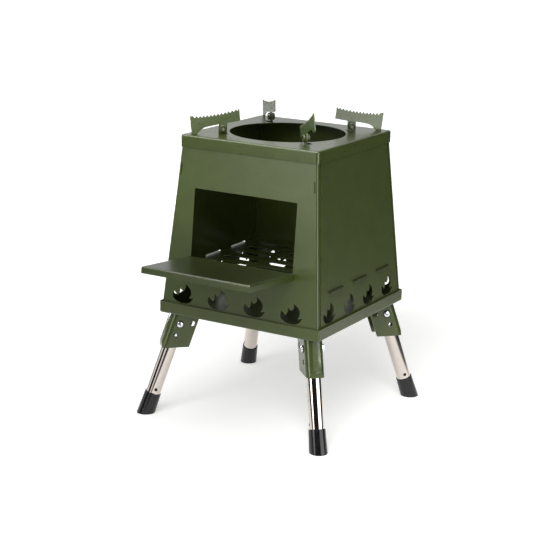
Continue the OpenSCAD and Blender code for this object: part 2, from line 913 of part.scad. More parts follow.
module spring_outline() {
  first = lock_radius - collar_size;
  last = lock_radius + 3 * collar_size;
  middle = (spring_out - spring_back) / 2;
  translate([spring_out - spring_sheet, -last]) square([spring_sheet, last - first]);
  translate([-spring_back, -last]) square([spring_sheet, last - first]);
  translate([middle, -last])
    difference() {
      circle(spring_bend);
      circle(spring_bend - spring_sheet);
      translate([-spring_bend, 0]) square(2 * spring_bend);
    }
}

base_tray();
front_panel();
side_panel(right_side);  // right_panel
back_panel();
side_panel(left_side);  // left_panel
grate();
feed_shelf();
shelf_pin();
lid_plate();
support_rivets();
pot_support(front_right, support_tilt);  // pot_support_front_right
pot_support(back_right, standing);  // pot_support_back_right
pot_support(back_left, standing);  // pot_support_back_left
pot_support(front_left, standing);  // pot_support_front_left
leg_bracket(front_right);  // bracket_front_right
leg_bracket(back_right);  // bracket_back_right
leg_bracket(back_left);  // bracket_back_left
leg_bracket(front_left);  // bracket_front_left
bracket_rivets();
leg_screws();
leg_washers();
leg_nuts();
leg_tube(front_right);  // leg_tube_front_right
leg_tube(back_right);  // leg_tube_back_right
leg_tube(back_left);  // leg_tube_back_left
leg_tube(front_left);  // leg_tube_front_left
foot(front_right);  // foot_front_right
foot(back_right);  // foot_back_right
foot(back_left);  // foot_back_left
foot(front_left);  // foot_front_left
lock_button(front_right);  // lock_button_front_right
lock_button(back_right);  // lock_button_back_right
lock_button(back_left);  // lock_button_back_left
lock_button(front_left);  // lock_button_front_left
button_spring(front_right);  // button_spring_front_right
button_spring(back_right);  // button_spring_back_right
button_spring(back_left);  // button_spring_back_left
button_spring(front_left);  // button_spring_front_left
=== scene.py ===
import json
import math

import bmesh
import bpy
from mathutils import Matrix, Vector


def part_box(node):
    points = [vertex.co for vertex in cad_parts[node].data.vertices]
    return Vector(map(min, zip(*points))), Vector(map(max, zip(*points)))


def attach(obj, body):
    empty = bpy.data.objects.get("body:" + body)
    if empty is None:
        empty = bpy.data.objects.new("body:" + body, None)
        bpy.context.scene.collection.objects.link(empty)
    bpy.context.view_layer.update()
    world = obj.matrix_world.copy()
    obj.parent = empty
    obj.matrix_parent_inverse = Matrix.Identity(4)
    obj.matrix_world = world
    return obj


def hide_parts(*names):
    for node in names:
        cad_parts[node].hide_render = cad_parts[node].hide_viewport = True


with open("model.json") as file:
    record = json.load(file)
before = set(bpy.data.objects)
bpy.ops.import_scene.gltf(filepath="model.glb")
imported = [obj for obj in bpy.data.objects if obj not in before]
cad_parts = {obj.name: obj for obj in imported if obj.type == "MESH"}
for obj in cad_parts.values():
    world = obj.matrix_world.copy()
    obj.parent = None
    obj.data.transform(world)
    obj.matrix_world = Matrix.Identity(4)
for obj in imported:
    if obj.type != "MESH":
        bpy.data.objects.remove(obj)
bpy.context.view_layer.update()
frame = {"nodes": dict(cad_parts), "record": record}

bl_info = {
    "name": "Folding Camp Stove",
    "version": (1, 0, 0),
    "blender": (4, 5, 0),
    "location": "3D View > Sidebar > Camp Stove",
    "description": "Dresses a folding wood stove in its finishes and sets up its studio",
    "category": "Object",
}

MM = 0.001
CORNERS = ("front_right", "back_right", "back_left", "front_left")
# The side of each leg with its screw head and lock button: 1 is against the clock, seen from above
HEAD_SIDE = (-1, -1, 1, 1)
JOINTS = {joint["name"]: joint for joint in frame["record"]["behaviour"]["joints"]}

# Points of a CAD mesh that are closer than this are one point
CAD_WELD = 0.002 * MM
# Faces that meet at less than this are one flat face
FLAT_ANGLE = math.radians(0.3)
# Edges that turn by more than this are rounded off
SHARP_ANGLE = math.radians(30)
# A face looks down where its normal's height is below this
LOOKS_DOWN = -0.9
# The values between which a pattern carries a colour, and those between which it carries a number
COLOUR_SPAN = (0.32, 0.68)
NUMBER_SPAN = (0.3, 0.7)
# A foot's lip is rounded by this share of what its sole's rim is
LIP_SHARE = 0.22
# One arm of a screw's cross recess at its floor and at its mouth: its length and width as shares of the
# head's radius, and its height as a share of the head's rise
RECESS_FLOOR = (0.55, 0.16, 0.1)
RECESS_MOUTH = (1.15, 0.24, 1.4)
# What a dark flag still shows in a reflection, where white is 1
FLAG_TONE = 0.02
# Half of the floor's side, in metres
FLOOR_REACH = 12.0


def linear(hex_colour):
    """An sRGB hex colour as linear values with full alpha."""
    channels = [int(hex_colour[i:i + 2], 16) / 255 for i in (1, 3, 5)]
    return [c / 12.92 if c <= 0.04045 else ((c + 0.055) / 1.055) ** 2.4 for c in channels] + [1.0]


def shade(colour, share):
    """The colour made darker or lighter by a share."""
    return [channel * share for channel in colour[:3]] + [1.0]


def turning_way(index):
    """The way round the stove at one of its corners, against the clock, seen from above."""
    angle = math.radians(-45 + 90 * index)
    return Vector((-math.sin(angle), math.cos(angle), 0))


def way_to(azimuth, elevation):
    """The way from the stove to an azimuth, counted from its front toward its right, and an elevation."""
    level = math.cos(elevation)
    return Vector((math.sin(azimuth) * level, -math.cos(azimuth) * level, math.sin(elevation)))


# Sizes and colours

class StoveColours(bpy.types.PropertyGroup):
    body: bpy.props.FloatVectorProperty(
        name="Body", description="Powder coat of the body, tray, shelf and brackets", subtype="COLOR", size=4,
        min=0, max=1, default=linear("#424f1e"))
    lid: bpy.props.FloatVectorProperty(
        name="Lid", description="Powder coat of the lid", subtype="COLOR", size=4,
        min=0, max=1, default=linear("#424f1e"))
    # Paler than the body's olive: the supports' own coat is that olive, and the rest is painted sheen
    supports: bpy.props.FloatVectorProperty(
        name="Pot supports", description="Powder coat of the pot supports", subtype="COLOR", size=4,
        min=0, max=1, default=linear("#5f6d43"))
    tubes: bpy.props.FloatVectorProperty(
        name="Leg tubes", description="Tint of the polished stainless tubes", subtype="COLOR", size=4,
        min=0, max=1, default=linear("#cbc3bb"))
    rubber: bpy.props.FloatVectorProperty(
        name="Feet", description="Rubber of the feet", subtype="COLOR", size=4,
        min=0, max=1, default=linear("#0f0f11"))


class StoveSizes(bpy.types.PropertyGroup):
    edge: bpy.props.FloatProperty(
        name="Cut edge", description="Softness that the coat gives to a cut edge", default=0.35 * MM,
        unit="LENGTH")
    tube_edge: bpy.props.FloatProperty(
        name="Tube edge", description="Rounding of the tubes' ends, the lock buttons and the support rivets",
        default=0.3 * MM, unit="LENGTH")
    rivet_edge: bpy.props.FloatProperty(
        name="Rivet edge", description="Rounding of the tray rivets and the shelf's pin", default=0.2 * MM,
        unit="LENGTH")
    spring_edge: bpy.props.FloatProperty(
        name="Spring edge", description="Rounding of the spring strip's edges", default=0.1 * MM,
        unit="LENGTH")
    sole_edge: bpy.props.FloatProperty(
        name="Sole edge", description="Rounding of a foot's sole", default=2.0 * MM, unit="LENGTH")
    screw_head: bpy.props.FloatProperty(
        name="Screw head", description="Diameter of a pivot screw's head", default=9.2 * MM, unit="LENGTH")
    screw_size: bpy.props.FloatProperty(
        name="Screw", description="Diameter of a pivot screw's thread", default=6 * MM, unit="LENGTH")
    washer: bpy.props.FloatProperty(
        name="Washer", description="Thickness of the washer under a screw's head", default=0.84 * MM,
        unit="LENGTH")
    bracket_width: bpy.props.FloatProperty(
        name="Bracket", description="Width of a leg bracket over its cheeks", default=27.2 * MM,
        unit="LENGTH")
    slot_length: bpy.props.FloatProperty(
        name="Air slot length", description="Length of an air slot's straight sides", default=50 * MM,
        unit="LENGTH")
    slot_width: bpy.props.FloatProperty(
        name="Air slot width", description="Width of an air slot in the grate", default=15 * MM,
        unit="LENGTH")
    slot_bar: bpy.props.FloatProperty(
        name="Air slot bar", description="Metal left between two air slots of a row", default=9.75 * MM,
        unit="LENGTH")
    slot_pitch: bpy.props.FloatProperty(
        name="Air slot pitch", description="Distance from one row of air slots to the next",
        default=33.6 * MM, unit="LENGTH")
    slot_rows: bpy.props.IntProperty(
        name="Air slot rows", description="Number of rows of air slots", default=7, min=1, max=12)


class StoveCamera(bpy.types.PropertyGroup):
    azimuth: bpy.props.FloatProperty(
        name="Azimuth", description="Turn of the camera round the stove, from its front toward its right",
        default=math.radians(30.36), subtype="ANGLE")
    elevation: bpy.props.FloatProperty(
        name="Elevation", description="Height of the camera as an angle",
        default=math.radians(14.65), subtype="ANGLE")
    roll: bpy.props.FloatProperty(
        name="Roll", description="Tilt of the camera about its own axis",
        default=math.radians(1.38), subtype="ANGLE")
    focal_length: bpy.props.FloatProperty(
        name="Focal length", description="Lens of the camera on a 36 mm film", default=103.76, unit="CAMERA")
    distance: bpy.props.FloatProperty(
        name="Distance", description="Distance of the camera from its aim", default=2.30236, unit="LENGTH")
    aim_height: bpy.props.FloatProperty(
        name="Aim height", description="Height of the aim over the ground", default=0.25, unit="LENGTH")
    aside: bpy.props.FloatProperty(
        name="Aside", description="Step of the camera to its own right", default=-0.02731, unit="LENGTH")
    above: bpy.props.FloatProperty(
        name="Above", description="Step of the camera up its own frame", default=-0.03166, unit="LENGTH")


# Materials

def add(tree, kind, settings=None, **links):
    """Adds a node. settings are its properties, and links are its inputs by name, as values or as other
    nodes' sockets."""
    node = tree.nodes.new(kind)
    for name, value in (settings or {}).items():
        setattr(node, name, value)
    for name, value in links.items():
        key = name.replace("_", " ")
        key = int(key[6:]) if key.startswith("input ") else key
        if isinstance(value, bpy.types.NodeSocket):
            tree.links.new(value, node.inputs[key])
        else:
            node.inputs[key].default_value = value
    return node


def surface(name, **shader):
    """A new material with one Principled shader; returns the material, its tree and the shader."""
    material = bpy.data.materials.new(name)
    material.use_nodes = True
    tree = material.node_tree
    tree.nodes.clear()
    output = tree.nodes.new("ShaderNodeOutputMaterial")
    bsdf = add(tree, "ShaderNodeBsdfPrincipled", **shader)
    tree.links.new(bsdf.outputs["BSDF"], output.inputs["Surface"])
    return material, tree, bsdf


def clouded(tree, size, detail=2.0, roughness=0.5):
    """A pattern of clouds or grains about size across, which stays on the piece as it moves."""
    point = add(tree, "ShaderNodeTexCoord").outputs["Object"]
    return add(tree, "ShaderNodeTexNoise", Vector=point, Scale=1 / size, Detail=detail,
               Roughness=roughness).outputs["Fac"]


def carry(tree, pattern, node, key, first, last):
    """Lets a pattern carry a node's input from a first colour or number to a last one."""
    target = node.inputs[key]
    if target.type == "RGBA":
        share = add(tree, "ShaderNodeMapRange", Value=pattern, From_Min=COLOUR_SPAN[0],
                    From_Max=COLOUR_SPAN[1])
        blend = add(tree, "ShaderNodeMix", {"data_type": "RGBA"}, input_0=share.outputs["Result"],
                    input_6=first, input_7=last)
        tree.links.new(blend.outputs[2], target)
    else:
        number = add(tree, "ShaderNodeMapRange", Value=pattern, From_Min=NUMBER_SPAN[0],
                     From_Max=NUMBER_SPAN[1], To_Min=first, To_Max=last)
        tree.links.new(number.outputs["Result"], target)


def powder_coat(name, colour, roughness, peel_depth):
    """Epoxy powder coat baked on sheet steel: even in colour, with a satin sheen and the orange peel of cured
    powder, drawn at 3.6 mm because the real one, of about 1 mm, is too fine to show."""
    material, tree, bsdf = surface(name, IOR=1.5)
    clouds = clouded(tree, size=38 * MM, detail=3.0, roughness=0.55)
    peel = clouded(tree, size=3.6 * MM, roughness=0.6)
    carry(tree, clouds, bsdf, "Base Color", shade(colour, 0.93), shade(colour, 1.07))
    carry(tree, peel, bsdf, "Roughness", roughness - 0.03, roughness + 0.05)
    bump = add(tree, "ShaderNodeBump", Height=peel, Strength=0.3, Distance=peel_depth)
    tree.links.new(bump.outputs["Normal"], bsdf.inputs["Normal"])
    return material


def stove_enamel(name, colour):
    """Heat-resistant coat of the grate, sprayed and fired, with a semi-gloss that its slots and tab edges
    catch. It is given a colour darkened as painted shade."""
    material, tree, bsdf = surface(name, IOR=1.5)
    clouds = clouded(tree, size=17 * MM, detail=4.0, roughness=0.65)
    carry(tree, clouds, bsdf, "Base Color", shade(colour, 0.8), shade(colour, 1.25))
    carry(tree, clouds, bsdf, "Roughness", 0.40, 0.50)
    bump = add(tree, "ShaderNodeBump", Height=clouds, Strength=0.2, Distance=0.1 * MM)
    tree.links.new(bump.outputs["Normal"], bsdf.inputs["Normal"])
    return material


def polished_tube(name, colour):
    """Welded stainless tube, belt polished: bright, slightly warm, with soft clouds in its shine from the
    belt."""
    material, tree, bsdf = surface(name, Metallic=1.0)
    clouds = clouded(tree, size=9 * MM, detail=3.0, roughness=0.6)
    carry(tree, clouds, bsdf, "Base Color", shade(colour, 0.96), colour)
    carry(tree, clouds, bsdf, "Roughness", 0.03, 0.07)
    bump = add(tree, "ShaderNodeBump", Height=clouds, Strength=0.05, Distance=0.1 * MM)
    tree.links.new(bump.outputs["Normal"], bsdf.inputs["Normal"])
    return material


def bright_zinc(name):
    """Clear zinc plate on steel: cold and bright and slightly cloudy, with painted shade that darkens it in
    its recesses."""
    material, tree, bsdf = surface(name, Metallic=1.0)
    clouds = clouded(tree, size=3 * MM, detail=3.0)
    # Painted shade: ambient occlusion over 1.6 mm darkens the zinc toward a near-black grey in recesses, such
    # as the screws' cross recess
    recess = add(tree, "ShaderNodeAmbientOcclusion", {"samples": 4, "only_local": True},
                 Distance=1.6 * MM)
    plate = add(tree, "ShaderNodeMix", {"data_type": "RGBA"}, input_6=linear("#2b2c2e"))
    carry(tree, recess.outputs["AO"], plate, 0, 0.0, 1.0)
    carry(tree, clouds, plate, 7, linear("#c3c6cc"), linear("#eceef0"))
    tree.links.new(plate.outputs[2], bsdf.inputs["Base Color"])
    carry(tree, clouds, bsdf, "Roughness", 0.14, 0.24)
    return material


def spring_strip(name):
    """Tempered spring strip: grey with a faint blue cast from its oven."""
    material, tree, bsdf = surface(name, Metallic=1.0, Roughness=0.38)
    carry(tree, clouded(tree, size=4 * MM), bsdf, "Base Color", linear("#7b818b"), linear("#9b9b99"))
    return material


def moulded_black(name, colour):
    """Rubber or nylon from a blasted mould: black and fairly glossy, with a grey bloom, and its grain drawn
    at 1.6 mm because the real one is too fine to show."""
    material, tree, bsdf = surface(name, IOR=1.52, Specular_IOR_Level=0.38)
    bloom = clouded(tree, size=13 * MM, detail=3.0)
    grain = clouded(tree, size=1.6 * MM)
    carry(tree, bloom, bsdf, "Base Color", colour, shade(colour, 1.7))
    carry(tree, bloom, bsdf, "Roughness", 0.12, 0.20)
    bump = add(tree, "ShaderNodeBump", Height=grain, Strength=0.15, Distance=0.04 * MM)
    tree.links.new(bump.outputs["Normal"], bsdf.inputs["Normal"])
    return material


def flag_cloth(name):
    """Black cloth of a flag: matt, with no sheen."""
    return surface(name, Base_Color=(0.01, 0.01, 0.01, 1.0), Roughness=1.0, Specular_IOR_Level=0.0)[0]


FINISHES = {}


def finish(name):
    """Each finish is made once and shared by the pieces that have it."""
    colours = bpy.context.scene.stove_colours
    body, lid, supports = list(colours.body), list(colours.lid), list(colours.supports)
    makers = {
        "body": lambda: powder_coat("olive_powder_coat", body, roughness=0.34, peel_depth=0.42 * MM),
        "lid": lambda: powder_coat("smooth_olive_powder_coat", lid, roughness=0.3, peel_depth=0.12 * MM),
        "bracket": lambda: powder_coat("glossy_olive_powder_coat", body, roughness=0.2, peel_depth=0.03 * MM),
        # The pot supports are coated in the body's olive; their paler colour here is painted sheen
        "support": lambda: powder_coat("olive_powder_coat_painted_sheen", supports, roughness=0.28,
                                       peel_depth=0.12 * MM),
        # The grate's coat is the body's olive darkened to 0.6: painted shade for the dim firebox
        "grate": lambda: stove_enamel("olive_stove_enamel_painted_shade", shade(body, 0.6)),
        "zinc": lambda: bright_zinc("bright_zinc_plate"),
        "tube": lambda: polished_tube("belt_polished_stainless", list(colours.tubes)),
        "spring": lambda: spring_strip("tempered_spring_strip"),
        "rubber": lambda: moulded_black("moulded_black_rubber", list(colours.rubber)),
        "nylon": lambda: moulded_black("black_nylon", linear("#101012")),
        "flag": lambda: flag_cloth("black_flag_cloth"),
    }
    if name not in FINISHES:
        FINISHES[name] = makers[name]()
    return FINISHES[name]


# Pieces

def in_scene(name, data):
    """A new object in the scene, at the origin."""
    piece = bpy.data.objects.new(name, data)
    bpy.context.collection.objects.link(piece)
    return piece


def as_mesh(name, shape):
    """A worked shape as a mesh. The shape itself is freed."""
    mesh = bpy.data.meshes.new(name)
    shape.to_mesh(mesh)
    shape.free()
    return mesh


def applied(piece):
    """The piece's mesh with its modifiers applied. The piece itself is removed."""
    bpy.context.view_layer.update()
    evaluated = piece.evaluated_get(bpy.context.evaluated_depsgraph_get())
    mesh = bpy.data.meshes.new_from_object(evaluated)
    bpy.data.objects.remove(piece)
    return mesh


def own_piece(name, mesh, finish_name, body, node):
    """Puts a finished mesh into the scene as a piece that rides on a body and stands for a CAD node."""
    mesh.name = name
    mesh.materials.clear()
    mesh.materials.append(finish(finish_name))
    piece = in_scene(name, mesh)
    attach(piece, body)
    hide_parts(node)


def join_flat_faces(shape):
    bmesh.ops.dissolve_limit(shape, angle_limit=FLAT_ANGLE, verts=shape.verts, edges=shape.edges)


def merged(node):
    """A CAD node's shape with its triangles merged into clean faces."""
    source = frame["nodes"][node]
    shape = bmesh.new()
    shape.from_mesh(source.data)
    shape.transform(source.matrix_world)
    bmesh.ops.remove_doubles(shape, verts=shape.verts, dist=CAD_WELD)
    join_flat_faces(shape)
    return shape


def soften(shape, width, weigh=None, segments=2):
    """Rounds a shape's sharp edges off and evens its shading. weigh gives an edge's share of the width."""
    weight = shape.edges.layers.float.new("bevel_weight_edge")
    for edge in shape.edges:
        if len(edge.link_faces) == 2 and edge.calc_face_angle() > SHARP_ANGLE:
            edge[weight] = weigh(edge) if weigh else 1.0
    mesh = as_mesh("softened", shape)
    mesh.shade_smooth()
    piece = in_scene("softened", mesh)
    bevel = piece.modifiers.new("soft_edges", "BEVEL")
    bevel.limit_method = "WEIGHT"
    bevel.width = width
    bevel.segments = segments
    bevel.use_clamp_overlap = True
    even = piece.modifiers.new("even_shading", "WEIGHTED_NORMAL")
    even.mode = "FACE_AREA"
    even.keep_sharp = False
    return applied(piece)


def softened(node, width, weigh=None, segments=2):
    """A CAD node's shape with its sharp edges rounded off."""
    return soften(merged(node), width, weigh, segments)


def smoothed(mesh, angle=35):
    """The mesh shaded smooth, apart from edges that turn by more than the angle in degrees."""
    mesh.shade_smooth()
    mesh.set_sharp_from_angle(angle=math.radians(angle))
    return mesh


def lathe(profile, steps=48):
    """A closed shape turned round Z from points (radius, height), listed from its lower end up."""
    shape = bmesh.new()
    rings = []
    for radius, height in profile:
        if radius == 0:
            rings.append([shape.verts.new((0, 0, height))])
        else:
            rings.append([shape.verts.new((radius * math.cos(2 * math.pi * i / steps),
                                           radius * math.sin(2 * math.pi * i / steps), height))
                          for i in range(steps)])
    for low, high in zip(rings, rings[1:]):
        for i in range(steps):
            j = (i + 1) % steps
            corners = [low[i % len(low)], low[j % len(low)], high[j % len(high)], high[i % len(high)]]
            shape.faces.new(list(dict.fromkeys(corners)))
    bmesh.ops.recalc_face_normals(shape, faces=shape.faces)
    return as_mesh("turned", shape)


def ring_mesh(section, steps=40):
    """A ring turned round Z from its closed section, a list of (radius, height)."""
    shape = bmesh.new()
    rings = []
    for i in range(steps):
        angle = 2 * math.pi * i / steps
        rings.append([shape.verts.new((r * math.cos(angle), r * math.sin(angle), h)) for r, h in section])
    count = len(section)
    for i in range(steps):
        near, far = rings[i], rings[(i + 1) % steps]
        for k in range(count):
            n = (k + 1) % count
            shape.faces.new([near[k], near[n], far[n], far[k]])
    bmesh.ops.recalc_face_normals(shape, faces=shape.faces)
    return as_mesh("ring", shape)


def group_inputs(tree, **sockets):
    """Names a geometry tree's inputs; returns their sockets' identifiers and its input node's outputs."""
    tree.interface.new_socket("Geometry", in_out="INPUT", socket_type="NodeSocketGeometry")
    tree.interface.new_socket("Geometry", in_out="OUTPUT", socket_type="NodeSocketGeometry")
    names = {}
    for name, kind in sockets.items():
        socket = tree.interface.new_socket(name.replace("_", " "), in_out="INPUT", socket_type=kind)
        names[name] = socket.identifier
    return names, tree.nodes.new("NodeGroupInput").outputs


def run_tree(tree, names, mesh, values):
    """Runs a geometry tree on a mesh with the given input values and returns the plain mesh."""
    carrier = in_scene("carrier", mesh)
    modifier = carrier.modifiers.new("pieces", "NODES")
    modifier.node_group = tree
    for name, value in values.items():
        modifier[names[name]] = value
    return applied(carrier)


def fastener_tree():
    """Sets one fastener on each point, turned as the point's turn says."""
    tree = bpy.data.node_groups.new("fasteners_on_points", "GeometryNodeTree")
    names, given = group_inputs(
        tree, Fastener="NodeSocketObject", Size="NodeSocketFloat", Finish="NodeSocketMaterial")
    turn = add(tree, "GeometryNodeInputNamedAttribute", {"data_type": "FLOAT_VECTOR"}, Name="turn")
    rotation = add(tree, "FunctionNodeEulerToRotation", Euler=turn.outputs["Attribute"])
    fastener = add(tree, "GeometryNodeObjectInfo", Object=given["Fastener"])
    placed = add(tree, "GeometryNodeInstanceOnPoints", Points=given["Geometry"],
                 Instance=fastener.outputs["Geometry"], Rotation=rotation.outputs["Rotation"],
                 Scale=given["Size"])
    real = add(tree, "GeometryNodeRealizeInstances", Geometry=placed.outputs["Instances"])
    dressed = add(tree, "GeometryNodeSetMaterial", Geometry=real.outputs["Geometry"],
                  Material=given["Finish"])
    add(tree, "NodeGroupOutput", Geometry=dressed.outputs["Geometry"])
    return tree, names


def grate_tree():
    """Punches rows of round-ended slots in the outline that it is given, and gives the sheet its
    thickness."""
    tree = bpy.data.node_groups.new("slotted_plate", "GeometryNodeTree")
    names, given = group_inputs(
        tree, Slot_length="NodeSocketFloat", Slot_width="NodeSocketFloat", Row_pitch="NodeSocketFloat",
        Rows="NodeSocketInt", Column_pitch="NodeSocketFloat", Thickness="NodeSocketFloat",
        Height="NodeSocketFloat", Finish="NodeSocketMaterial")

    def sums(operation, first, second):
        return add(tree, "ShaderNodeMath", {"operation": operation}, input_0=first,
                   input_1=second).outputs["Value"]

    outline = add(tree, "GeometryNodeMeshToCurve", Mesh=given["Geometry"])
    slot_box = add(tree, "GeometryNodeCurvePrimitiveQuadrilateral",
                   Width=sums("ADD", given["Slot length"], given["Slot width"]), Height=given["Slot width"])
    # A hair under half the width, so that the two rounded corners of an end don't meet in one point
    slot = add(tree, "GeometryNodeFilletCurve", Curve=slot_box.outputs["Curve"],
               Radius=sums("MULTIPLY", given["Slot width"], 0.498))
    fine = add(tree, "GeometryNodeResampleCurve", Curve=slot.outputs["Curve"], Count=40)
    rows_span = sums("MULTIPLY", given["Row pitch"], sums("SUBTRACT", given["Rows"], 1.0))
    points = add(tree, "GeometryNodeMeshGrid", Size_X=sums("MULTIPLY", given["Column pitch"], 2.0),
                 Size_Y=rows_span, Vertices_X=3, Vertices_Y=given["Rows"])
    slots = add(tree, "GeometryNodeInstanceOnPoints", Points=points.outputs["Mesh"],
                Instance=fine.outputs["Curve"])
    real = add(tree, "GeometryNodeRealizeInstances", Geometry=slots.outputs["Instances"])
    join = add(tree, "GeometryNodeJoinGeometry")
    tree.links.new(outline.outputs["Curve"], join.inputs[0])
    tree.links.new(real.outputs["Geometry"], join.inputs[0])
    fill = add(tree, "GeometryNodeFillCurve", Curve=join.outputs["Geometry"])
    thick = add(tree, "GeometryNodeExtrudeMesh", Mesh=fill.outputs["Mesh"], Offset_Scale=given["Thickness"],
                Individual=False)
    under = add(tree, "GeometryNodeFlipFaces", Mesh=fill.outputs["Mesh"])
    closed = add(tree, "GeometryNodeJoinGeometry")
    tree.links.new(thick.outputs["Mesh"], closed.inputs[0])
    tree.links.new(under.outputs["Mesh"], closed.inputs[0])
    welded = add(tree, "GeometryNodeMergeByDistance", Geometry=closed.outputs["Geometry"],
                 Distance=0.005 * MM)
    raised = add(tree, "ShaderNodeCombineXYZ", Z=given["Height"])
    lifted = add(tree, "GeometryNodeTransform", Geometry=welded.outputs["Geometry"],
                 Translation=raised.outputs["Vector"])
    solid = add(tree, "GeometryNodeRealizeInstances", Geometry=lifted.outputs["Geometry"])
    dressed = add(tree, "GeometryNodeSetMaterial", Geometry=solid.outputs["Geometry"],
                  Material=given["Finish"])
    add(tree, "NodeGroupOutput", Geometry=dressed.outputs["Geometry"])
    return tree, names


def grate_outline():
    """The grate's outline with its tabs, read from the CAD solid's own underside, as a loop of edges.
    Returns it with the underside's height and the grate's thickness."""
    low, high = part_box("grate")
    shape = merged("grate")
    rim = {edge for edge in shape.edges
           if sum(face.normal.z < LOOKS_DOWN for face in edge.link_faces) == 1}
    edge = max(rim, key=lambda one: abs(one.verts[0].co.x + one.verts[1].co.x))
    loop, vert = [], edge.verts[0]
    while not loop or tuple(vert.co) != loop[0]:
        loop.append(tuple(vert.co))
        vert = edge.other_vert(vert)
        edge = next(one for one in vert.link_edges if one in rim and one is not edge)
    shape.free()
    mesh = bpy.data.meshes.new("grate_outline")
    sides = [(i, (i + 1) % len(loop)) for i in range(len(loop))]
    mesh.from_pydata([(x, y, 0) for x, y, _ in loop], sides, [])
    return mesh, low[2], high[2] - low[2]


class STOVE_OT_sheet_metal(bpy.types.Operator):
    """Coat the tray, panels, shelf, lid, supports and brackets, with softened edges"""
    bl_idname = "stove.sheet_metal"
    bl_label = "Sheet metal"

    def execute(self, context):
        edge = context.scene.stove_sizes.edge
        for node in ("base_tray", "front_panel", "right_panel", "back_panel", "left_panel"):
            own_piece(node + "_coated", softened(node, edge), "body", "stove", node)
        own_piece("feed_shelf_coated", softened("feed_shelf", edge), "body", "shelf",
                  "feed_shelf")
        own_piece("lid_coated", softened("lid_plate", edge), "lid", "lid", "lid_plate")
        for corner in CORNERS:
            node = "pot_support_" + corner
            own_piece(node + "_coated", softened(node, edge), "support", "support_" + corner,
                      node)
            node = "bracket_" + corner
            own_piece(node + "_coated", softened(node, edge), "bracket", "stove", node)
        return {"FINISHED"}


class STOVE_OT_grate(bpy.types.Operator):
    """Make the slotted fire grate"""
    bl_idname = "stove.grate"
    bl_label = "Fire grate"

    def execute(self, context):
        sizes = context.scene.stove_sizes
        tree, names = grate_tree()
        outline, height, thickness = grate_outline()
        mesh = run_tree(tree, names, outline, {
            "Slot_length": sizes.slot_length, "Slot_width": sizes.slot_width, "Row_pitch": sizes.slot_pitch,
            "Rows": sizes.slot_rows, "Column_pitch": sizes.slot_length + sizes.slot_width + sizes.slot_bar,
            "Thickness": thickness, "Height": height, "Finish": finish("grate")})
        shape = bmesh.new()
        shape.from_mesh(mesh)
        join_flat_faces(shape)
        own_piece("slotted_grate", soften(shape, sizes.edge), "grate", "stove", "grate")
        return {"FINISHED"}


def screw_mesh(sizes):
    """Pan-head screw with a cross recess. Zero is under the head, and the head points up."""
    head, shank = sizes.screw_head / 2, sizes.screw_size / 2
    rise = shank * 0.7
    rim = rise * 0.35
    past_bracket = sizes.screw_size * 0.8
    end = -sizes.bracket_width - sizes.washer - past_bracket
    stem = [(0, end), (shank * 0.8, end), (shank, end + shank * 0.2), (shank, 0), (head * 0.94, 0),
            (head, rise * 0.12)]
    crown = [(head * math.cos(math.radians(a)), rim + (rise - rim) * math.sin(math.radians(a)))
             for a in (0, 14, 28, 42, 56, 70, 82)]
    screw = in_scene("screw", lathe(stem + crown + [(0, rise)]))
    arms = bmesh.new()
    for turn in (0, 90):
        for vert in bmesh.ops.create_cube(arms, size=1.0)["verts"]:
            length, width, height = RECESS_FLOOR if vert.co.z < 0 else RECESS_MOUTH
            flat = Vector((vert.co.x * head * length, vert.co.y * head * width, rise * height))
            vert.co = Matrix.Rotation(math.radians(turn), 3, "Z") @ flat
    cutter = in_scene("recess", as_mesh("recess", arms))
    cut = screw.modifiers.new("recess", "BOOLEAN")
    cut.operation = "DIFFERENCE"
    cut.solver = "EXACT"
    cut.use_self = True
    cut.object = cutter
    mesh = applied(screw)
    bpy.data.objects.remove(cutter)
    return smoothed(mesh, 30)


def washer_mesh(sizes):
    """Flat washer under the screw head, with rounded edges."""
    inner, outer, top = sizes.screw_size / 2, sizes.screw_head * 0.62, sizes.washer
    edge = top * 0.3
    return ring_mesh([(inner, 0), (outer - edge, 0), (outer, edge), (outer, top - edge), (outer - edge, top),
                      (inner, top)])


def nut_mesh(sizes):
    """Hexagon nut with chamfered corners, turned on against the bracket's far cheek."""
    bore, corner, top = sizes.screw_size / 2, sizes.screw_size * 0.92, sizes.screw_size * 0.7
    return ring_mesh([(bore, 0), (corner, 0), (corner, 0.84 * top), (corner * 0.88, top), (bore, top)], 6)


def set_fasteners(recipe, name, mesh, places, finish_name, node):
    """Sets a fastener's mesh at each place and makes the lot one piece. A place is a point and the way
    out."""
    tree, names = recipe
    fastener = in_scene(name + "_one", mesh)
    points = bpy.data.meshes.new("places")
    points.from_pydata([place for place, _ in places], [], [])
    turn = points.attributes.new("turn", "FLOAT_VECTOR", "POINT")
    for i, (_, way) in enumerate(places):
        turn.data[i].vector = way.to_track_quat("Z", "Y").to_euler()
    lot = run_tree(tree, names, points, {"Fastener": fastener, "Size": 1.0, "Finish": finish(finish_name)})
    bpy.data.objects.remove(fastener)
    own_piece(name, smoothed(lot), finish_name, "stove", node)


